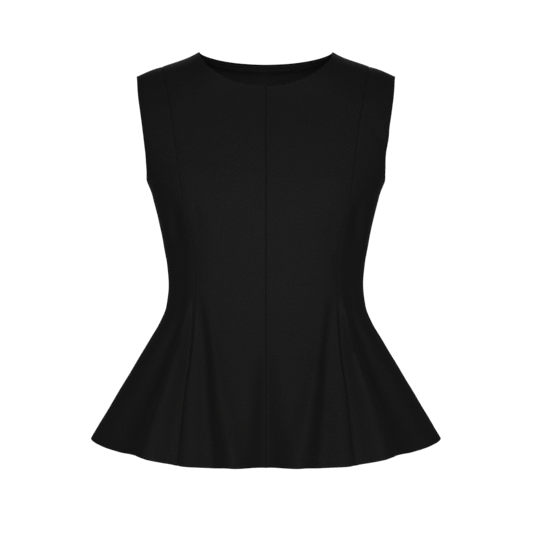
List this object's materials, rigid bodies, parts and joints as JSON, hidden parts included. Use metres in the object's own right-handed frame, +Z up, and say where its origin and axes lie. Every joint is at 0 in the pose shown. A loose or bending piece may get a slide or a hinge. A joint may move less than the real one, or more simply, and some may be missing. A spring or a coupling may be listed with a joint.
{
  "type": "sleeveless peplum top",
  "caption": "Black sleeveless top with a wide round neck, princess seams and a flared peplum.",
  "frame": {"origin": "midway between the two points where the neckline meets the shoulders, where the wearer's shoulders hold the top", "axes": "+Z up along the body, -Y towards the front, +X towards the wearer's left"},
  "size_m": [0.4882, 0.3359, 0.5663],
  "materials": {
    "crepe": "matte",
    "facing": "matte"
  },
  "bodies": {
    "root": {"front_centre_left": "crepe", "front_centre_right": "crepe", "front_side_left": "crepe", "front_side_right": "crepe", "back_centre": "crepe", "back_side_left": "crepe", "back_side_right": "crepe", "back_neck_facing": "facing"}
  },
  "joints": []
}
